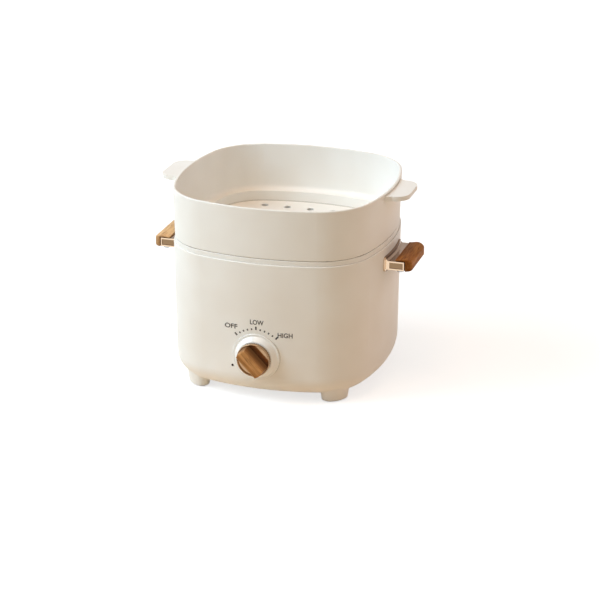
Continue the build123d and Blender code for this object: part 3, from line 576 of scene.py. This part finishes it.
close_material(tree, {
    "Base Color": colour.outputs[2],
    "Roughness": gloss.outputs[0],
    "IOR": 1.36,
    "Normal": relief.outputs[0],
})
print("made", pot_coating.name)

# %% [markdown]
# ## Lens and lamp
# The indicator is a smoked acrylic dot with a small neon lamp behind it. Off, the dot looks
# like a dark bead, so the moulded plastic's function makes it, smoother than the rest. The
# lamp's glass lets light through, with a faint warm tint.

# %% Make the lens and the lamp
tint_mm = 3
lens_acrylic = moulded_plastic(
    "acrylic_smoked_moulded", "#2a1d18", "#3a2219", 1.49, 0.06, 0.10, 3.0, 0.004,
)
lamp_glass, tree, place = open_material("soda_glass_neon_bulb")
tint = add(tree, "ShaderNodeTexNoise", {
    "Vector": place, "Scale": pattern_scale(tint_mm), "Detail": 2.0,
})
colour = add(tree, "ShaderNodeMix", {
    0: tint.outputs[0], 6: linear("#f4dcc8"), 7: linear("#e9b994"),
}, data_type="RGBA")
close_material(tree, {
    "Base Color": colour.outputs[2],
    "Roughness": 0.05,
    "IOR": 1.52,
    "Transmission Weight": 0.9,
})
print("made", lens_acrylic.name, "and", lamp_glass.name)

# %% [markdown]
# ## Dress the frame
# Every solid piece now gets its finish. The list says which pieces share a material,
# so a change of finish is a change in one place.

# %% Assign the finishes
finishes = {
    cream: ["outer_shell", "top_ring", "steamer_basket", "bottom_cover"],
    bezel_cream: ["dial_bezel"],
    pad_rubber: [
        f"foot_pad_{end}_{side}" for end in ("front", "rear") for side in ("left", "right")
    ],
    pot_coating: ["inner_pot"],
    casting: ["heating_plate"],
    sheath: ["heating_element", "fuse_clip"],
    zinc_screw: ["cover_screws", "heater_screws", "handle_screws", "grip_screws", "dial_shaft"],
    bracket_gold: ["handle_bracket_left", "handle_bracket_right"],
    dish_gold: ["knob_dish"],
    grip_wood["left"]: ["handle_grip_left"],
    grip_wood["right"]: ["handle_grip_right"],
    bar_wood: ["knob_bar"],
    black: ["knob_body", "power_inlet"],
    phenolic: ["thermostat", "terminal_block"],
    brass: ["thermostat_nut", "inlet_pins"],
    lens_acrylic: ["indicator_lens"],
    lamp_glass: ["indicator_lamp"],
    tin_case: ["thermal_fuse"],
}
for material, names in finishes.items():
    for name in names:
        for slot in nodes[name].material_slots:
            slot.material = material
undressed = set(nodes) - {name for names in finishes.values() for name in names}
print("pieces without a finish:", sorted(undressed))

# %% [markdown]
# ## Framed end panels
# Each bracket has a shallow panel in both of its ends. Its frame is painted brighter than
# the rest of the plating, as a painted reflection of the lit room, and the panel darker, as
# a painted reflection of dark surroundings. Neither has a mesh of

# %% Paint reflections onto the frames and the panels
bracket_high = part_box("handle_bracket_right")[1]
grip_low, grip_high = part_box("handle_grip_right")
panel_from_side, panel_sunk, panel_height = 7.6 * MM, 0.8 * MM, 4.55 * MM
panel_middle = (
    bracket_high.x - panel_from_side, grip_high.y - panel_sunk, grip_low.z + panel_height,
)
panel_half = (6.35 * MM, 0.5 * MM, 2.9 * MM)
frame_depth = 0.2 * MM
tree = bracket_gold.node_tree
shader = next(n for n in tree.nodes if n.type == "BSDF_PRINCIPLED")
place = next(n for n in tree.nodes if n.type == "TEX_COORD").outputs["Object"]
both_ways = add(tree, "ShaderNodeVectorMath", {0: place}, operation="ABSOLUTE")
axes = add(tree, "ShaderNodeSeparateXYZ", {0: both_ways.outputs[0]})
at_end = add(tree, "ShaderNodeMath", {
    0: axes.outputs["Y"], 1: grip_high.y - frame_depth,
}, operation="GREATER_THAN")
inside = 1.0
for axis, middle, half in zip(axes.outputs, panel_middle, panel_half):
    near = add(tree, "ShaderNodeMath", {0: axis, 1: middle, 2: half}, operation="COMPARE")
    inside = add(tree, "ShaderNodeMath", {
        0: inside, 1: near.outputs[0],
    }, operation="MULTIPLY").outputs[0]
plain = shader.inputs["Base Color"].links[0].from_socket
# A painted highlight on the frames and a painted dark reflection in the panels.
painted_bright_frame = add(tree, "ShaderNodeMix", {
    0: at_end.outputs[0], 6: plain, 7: linear("#e0c6a9"),
}, data_type="RGBA")
painted_dark_panel = add(tree, "ShaderNodeMix", {
    0: inside, 6: painted_bright_frame.outputs[2], 7: linear("#8c7256"),
}, data_type="RGBA")
tree.links.new(painted_dark_panel.outputs[2], shader.inputs["Base Color"])
print("panel half size in mm:", [round(h / MM, 2) for h in panel_half])

# %% [markdown]
# ## Handle grips
# A grip is one block that caps its bracket: thin over the bracket, crowned where the
# fingers close, and round at its corners. The solid grip's screw holes come out at its
# top, which a finished handle never shows, so a closed grip takes its place. A block
# could be bevelled into shape. We draw one slice with formulas instead and repeat it
# along the handle, because then each radius stays a number.

# %% Draw one slice of a grip
inner, outer = grip_low.x, grip_high.x
half_length = grip_high.y
bottom, crown = grip_low.z, grip_high.z
seat = bottom + 8.7 * MM
bracket_end = bracket_high.x
crown_x = inner + 8.0 * MM
inner_top = seat + 1.3 * MM
side_top = seat - 1.2 * MM
corner_radius, end_radius, bottom_radius = 5.4 * MM, 1.2 * MM, 1.2 * MM
reveal, reveal_depth, slip = 0.9 * MM, 1.5 * MM, 0.02 * MM
rise_steps, crown_steps, foot_steps = 12, 14, 5


def sunk(radius, from_end):
    """How far a rounded edge of this radius has fallen at a distance from its end."""
    return radius - sqrt(radius ** 2 - max(0.0, radius - from_end) ** 2)


def grip_slice(y):
    """Points round the right grip at this place along it."""
    from_end = half_length - abs(y)
    gap = reveal if from_end < reveal_depth else slip
    step_x, step_z = bracket_end + gap, seat + gap
    side = outer - sunk(corner_radius, from_end)
    fall = sunk(end_radius, from_end)
    foot = min(bottom_radius, side - step_x)
    top = []
    for i in range(rise_steps + 1):
        share = i / rise_steps
        rise = (1 - cos(pi * share)) / 2
        top.append((inner + (crown_x - inner) * share, inner_top + (crown - inner_top) * rise))
    for i in range(1, crown_steps + 1):
        turn = pi / 2 * i / crown_steps
        top.append((
            crown_x + (side - crown_x) * sin(turn), side_top + (crown - side_top) * cos(turn),
        ))
    points = [(x, max(z - fall, step_z + slip) if x < step_x else z - fall) for x, z in top]
    for i in range(foot_steps + 1):
        turn = pi / 2 * i / foot_steps
        points.append((side - foot + foot * cos(turn), bottom + foot - foot * sin(turn)))
    points += [(step_x, bottom), (step_x, step_z), (inner, step_z)]
    return [Vector((x, y, z)) for x, z in points]


print("points in a slice:", len(grip_slice(0.0)))

# %% Repeat the slice along each handle
corner_steps = 14
middle_stations = [7 * MM, 14 * MM]
sharp_angle = radians(32)
near_end = [
    corner_radius * (1 - sin(pi / 2 * i / corner_steps)) for i in range(corner_steps + 1)
]
near_end += [reveal_depth + slip, reveal_depth - slip]
half_stations = [half_length - e for e in near_end] + middle_stations
stations = sorted([0.0] + half_stations + [-y for y in half_stations])
for side, sign in (("left", -1), ("right", 1)):
    shape = bmesh.new()
    rings = [
        [shape.verts.new((sign * p.x, p.y, p.z)) for p in grip_slice(y)] for y in stations
    ]
    for near, far in zip(rings, rings[1:]):
        for i in range(len(near)):
            shape.faces.new((near[i - 1], near[i], far[i], far[i - 1]))
    ends = [shape.faces.new(rings[0]), shape.faces.new(rings[-1])]
    bmesh.ops.triangulate(shape, faces=ends)
    bmesh.ops.recalc_face_normals(shape, faces=shape.faces)
    mesh = bpy.data.meshes.new("grip_" + side)
    shape.to_mesh(mesh)
    shape.free()
    mesh.shade_smooth()
    mesh.set_sharp_from_angle(angle=sharp_angle)
    mesh.materials.append(grip_wood[side])
    grip = bpy.data.objects.new("grip_" + side, mesh)
    bpy.context.scene.collection.objects.link(grip)
    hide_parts("handle_grip_" + side)
    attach(grip, "base")
    print("grip", side, "has", len(mesh.polygons), "faces")

# %% [markdown]
# ## Printed scale
# The dial's marks and words are pad-printed ink, thin and dark on the curved front.
# A picture texture could carry them, but ink as its own thin mesh stays sharp at any
# size. We draw flat shapes, then press each point onto the wall behind it.

# %% Mix the ink
wear_mm = 1.5
ink, tree, place = open_material("pad_printing_ink_dark_grey")
wear = add(tree, "ShaderNodeTexNoise", {
    "Vector": place, "Scale": pattern_scale(wear_mm), "Detail": 3.0,
})
colour = add(tree, "ShaderNodeMix", {
    0: wear.outputs[0], 6: linear("#413c36"), 7: linear("#514b44"),
}, data_type="RGBA")
close_material(tree, {"Base Color": colour.outputs[2], "Roughness": 0.6, "IOR": 1.5})
print("made", ink.name)

# %% Press ink onto the wall
shell = nodes["outer_shell"].data
wall = BVHTree.FromPolygons(
    [v.co for v in shell.vertices], [p.vertices for p in shell.polygons],
)
ink_thickness = 0.08 * MM
ink_step = 1.2 * MM
cut_rounds = 4
before_wall = -1.0


def print_on_front(name, mesh):
    """A flat drawing in X and Z becomes ink on the front wall, and rides with the base."""
    drawing = bmesh.new()
    drawing.from_mesh(mesh)
    for _ in range(cut_rounds):
        long_edges = [e for e in drawing.edges if e.calc_length() > ink_step]
        if long_edges:
            bmesh.ops.subdivide_edges(drawing, edges=long_edges, cuts=1, use_grid_fill=True)
    bmesh.ops.triangulate(drawing, faces=drawing.faces)
    for v in drawing.verts:
        hit = wall.ray_cast(Vector((v.co.x, before_wall, v.co.z)), Vector((0, 1, 0)))[0]
        v.co.y = hit.y
    bmesh.ops.recalc_face_normals(drawing, faces=drawing.faces)
    drawing.to_mesh(mesh)
    drawing.free()
    mesh.materials.append(ink)
    piece = bpy.data.objects.new(name, mesh)
    bpy.context.scene.collection.objects.link(piece)
    film = piece.modifiers.new("film", "SOLIDIFY")
    film.thickness = 2 * ink_thickness
    film.offset = 0.0
    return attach(piece, "base")


print("ink stands", ink_thickness / MM, "mm proud of the wall")

# %% Print the marks
dial_height = (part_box("dial_bezel")[0].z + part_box("dial_bezel")[1].z) / 2
mark_count = 11
# Radius of the middle, length and width
mark_sizes = {
    "bold": (27.8 * MM, 3.2 * MM, 1.5 * MM),
    "plain": (26.8 * MM, 1.7 * MM, 1.3 * MM),
}
corners = [(-1, -1), (1, -1), (1, 1), (-1, 1)]
marks = bmesh.new()
for i in range(mark_count):
    bold = i in (0, mark_count // 2, mark_count - 1)
    radius, length, width = mark_sizes["bold" if bold else "plain"]
    turn = knob_off_angle * (2 * i / (mark_count - 1) - 1)
    along = Vector((sin(turn), 0, cos(turn)))
    across = Vector((cos(turn), 0, -sin(turn)))
    middle = Vector((0, 0, dial_height)) + along * radius
    marks.faces.new([
        marks.verts.new(middle + along * (a * length / 2) + across * (c * width / 2))
        for c, a in corners
    ])
mesh = bpy.data.meshes.new("dial_marks")
marks.to_mesh(mesh)
marks.free()
print_on_front("dial_marks", mesh)
print("marks on the scale:", mark_count)

# %% Print the words
# Middle in X and Z, and width, all in millimetres
word_places = {
    "OFF": (-24.1, 72.3, 12.4),
    "LOW": (0.9, 78.6, 12.9),
    "HIGH": (27.0, 68.2, 13.6),
}
letter_height = 4.6 * MM
stroke_gain = 0.02
for word, (x, z, width) in word_places.items():
    letters = bpy.data.curves.new(word, "FONT")
    letters.body = word
    letters.offset = stroke_gain
    letters.align_x = "CENTER"
    letters.align_y = "CENTER"
    maker = bpy.data.objects.new(word, letters)
    mesh = bpy.data.meshes.new_from_object(maker)
    bpy.data.objects.remove(maker)
    low = [min(v.co[i] for v in mesh.vertices) for i in (0, 1)]
    high = [max(v.co[i] for v in mesh.vertices) for i in (0, 1)]
    for v in mesh.vertices:
        share = [(v.co[i] - low[i]) / (high[i] - low[i]) - 0.5 for i in (0, 1)]
        v.co = Vector((x * MM + share[0] * width * MM, 0, z * MM + share[1] * letter_height))
    print_on_front("word_" + word.lower(), mesh)
print("words printed:", list(word_places))
